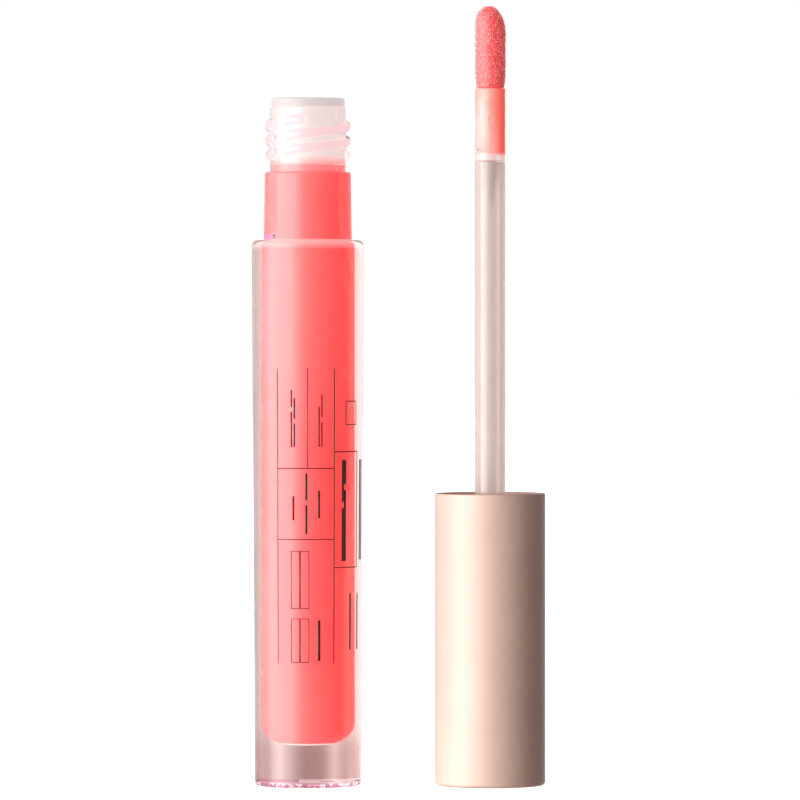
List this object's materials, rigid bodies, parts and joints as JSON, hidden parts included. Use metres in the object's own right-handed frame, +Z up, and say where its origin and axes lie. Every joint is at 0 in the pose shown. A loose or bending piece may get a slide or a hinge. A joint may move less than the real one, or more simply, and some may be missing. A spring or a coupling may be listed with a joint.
{
  "type": "lip gloss tube",
  "caption": "Slim clear tube of pink gloss with a threaded neck and wiper, opened, beside its beige capped applicator with a slanted flocked tip.",
  "frame": {"origin": "on the floor, midway between the bottle's axis and the upturned applicator's axis", "axes": "+Z up along both axes, +X from the bottle to the applicator, -Y towards the viewer"},
  "size_m": [0.0428, 0.0162, 0.1136],
  "materials": {
    "bottle": "clear, polished, with a faint pink cast",
    "wiper": "soft, translucent",
    "gloss": "thick coral pink liquid",
    "overcap": "satin nude beige",
    "inner_cap": "natural, moulded",
    "seal_ring": "matte foam",
    "wand_rod": "translucent greige",
    "tip_core": "translucent, moulded",
    "flock": "short flocked fibres, wet with gloss",
    "wet_gloss": "wet coral film"
  },
  "bodies": {
    "bottle": {"bottle": "bottle", "wiper": "wiper", "gloss": "gloss"},
    "turned_over": {"tip_gloss": "wet_gloss"},
    "inserted": {"stem_gloss": "wet_gloss"},
    "screwed_down": {"seal_ring": "seal_ring"},
    "applicator": {"overcap": "overcap", "inner_cap": "inner_cap", "wand_rod": "wand_rod", "tip_core": "tip_core", "flocked_tip": "flock"}
  },
  "joints": [
    {"name": "applicator_flip", "type": "hinge", "parent": "bottle", "child": "turned_over", "pos_m": [0, 0, 0.1089], "axis": [0, -1, 0], "range_deg": [0, 180]},
    {"name": "wand_insert", "type": "slide", "parent": "turned_over", "child": "inserted", "axis": [0, 0, 1], "range_m": [0, 0.09223], "deforming": ["gloss", "tip_gloss", "stem_gloss"]},
    {"name": "thread_advance", "type": "slide", "parent": "inserted", "child": "screwed_down", "axis": [0, 0, 1], "range_m": [0, 0.00318]},
    {"name": "cap_turn", "type": "hinge", "parent": "screwed_down", "child": "applicator", "pos_m": [0.0133, 0, 0], "axis": [0, 0, 1], "range_deg": [0, 270]}
  ],
  "couplings": [
    {"joint": "thread_advance", "follows": "cap_turn", "m_per_rad": 0.00067376}
  ]
}
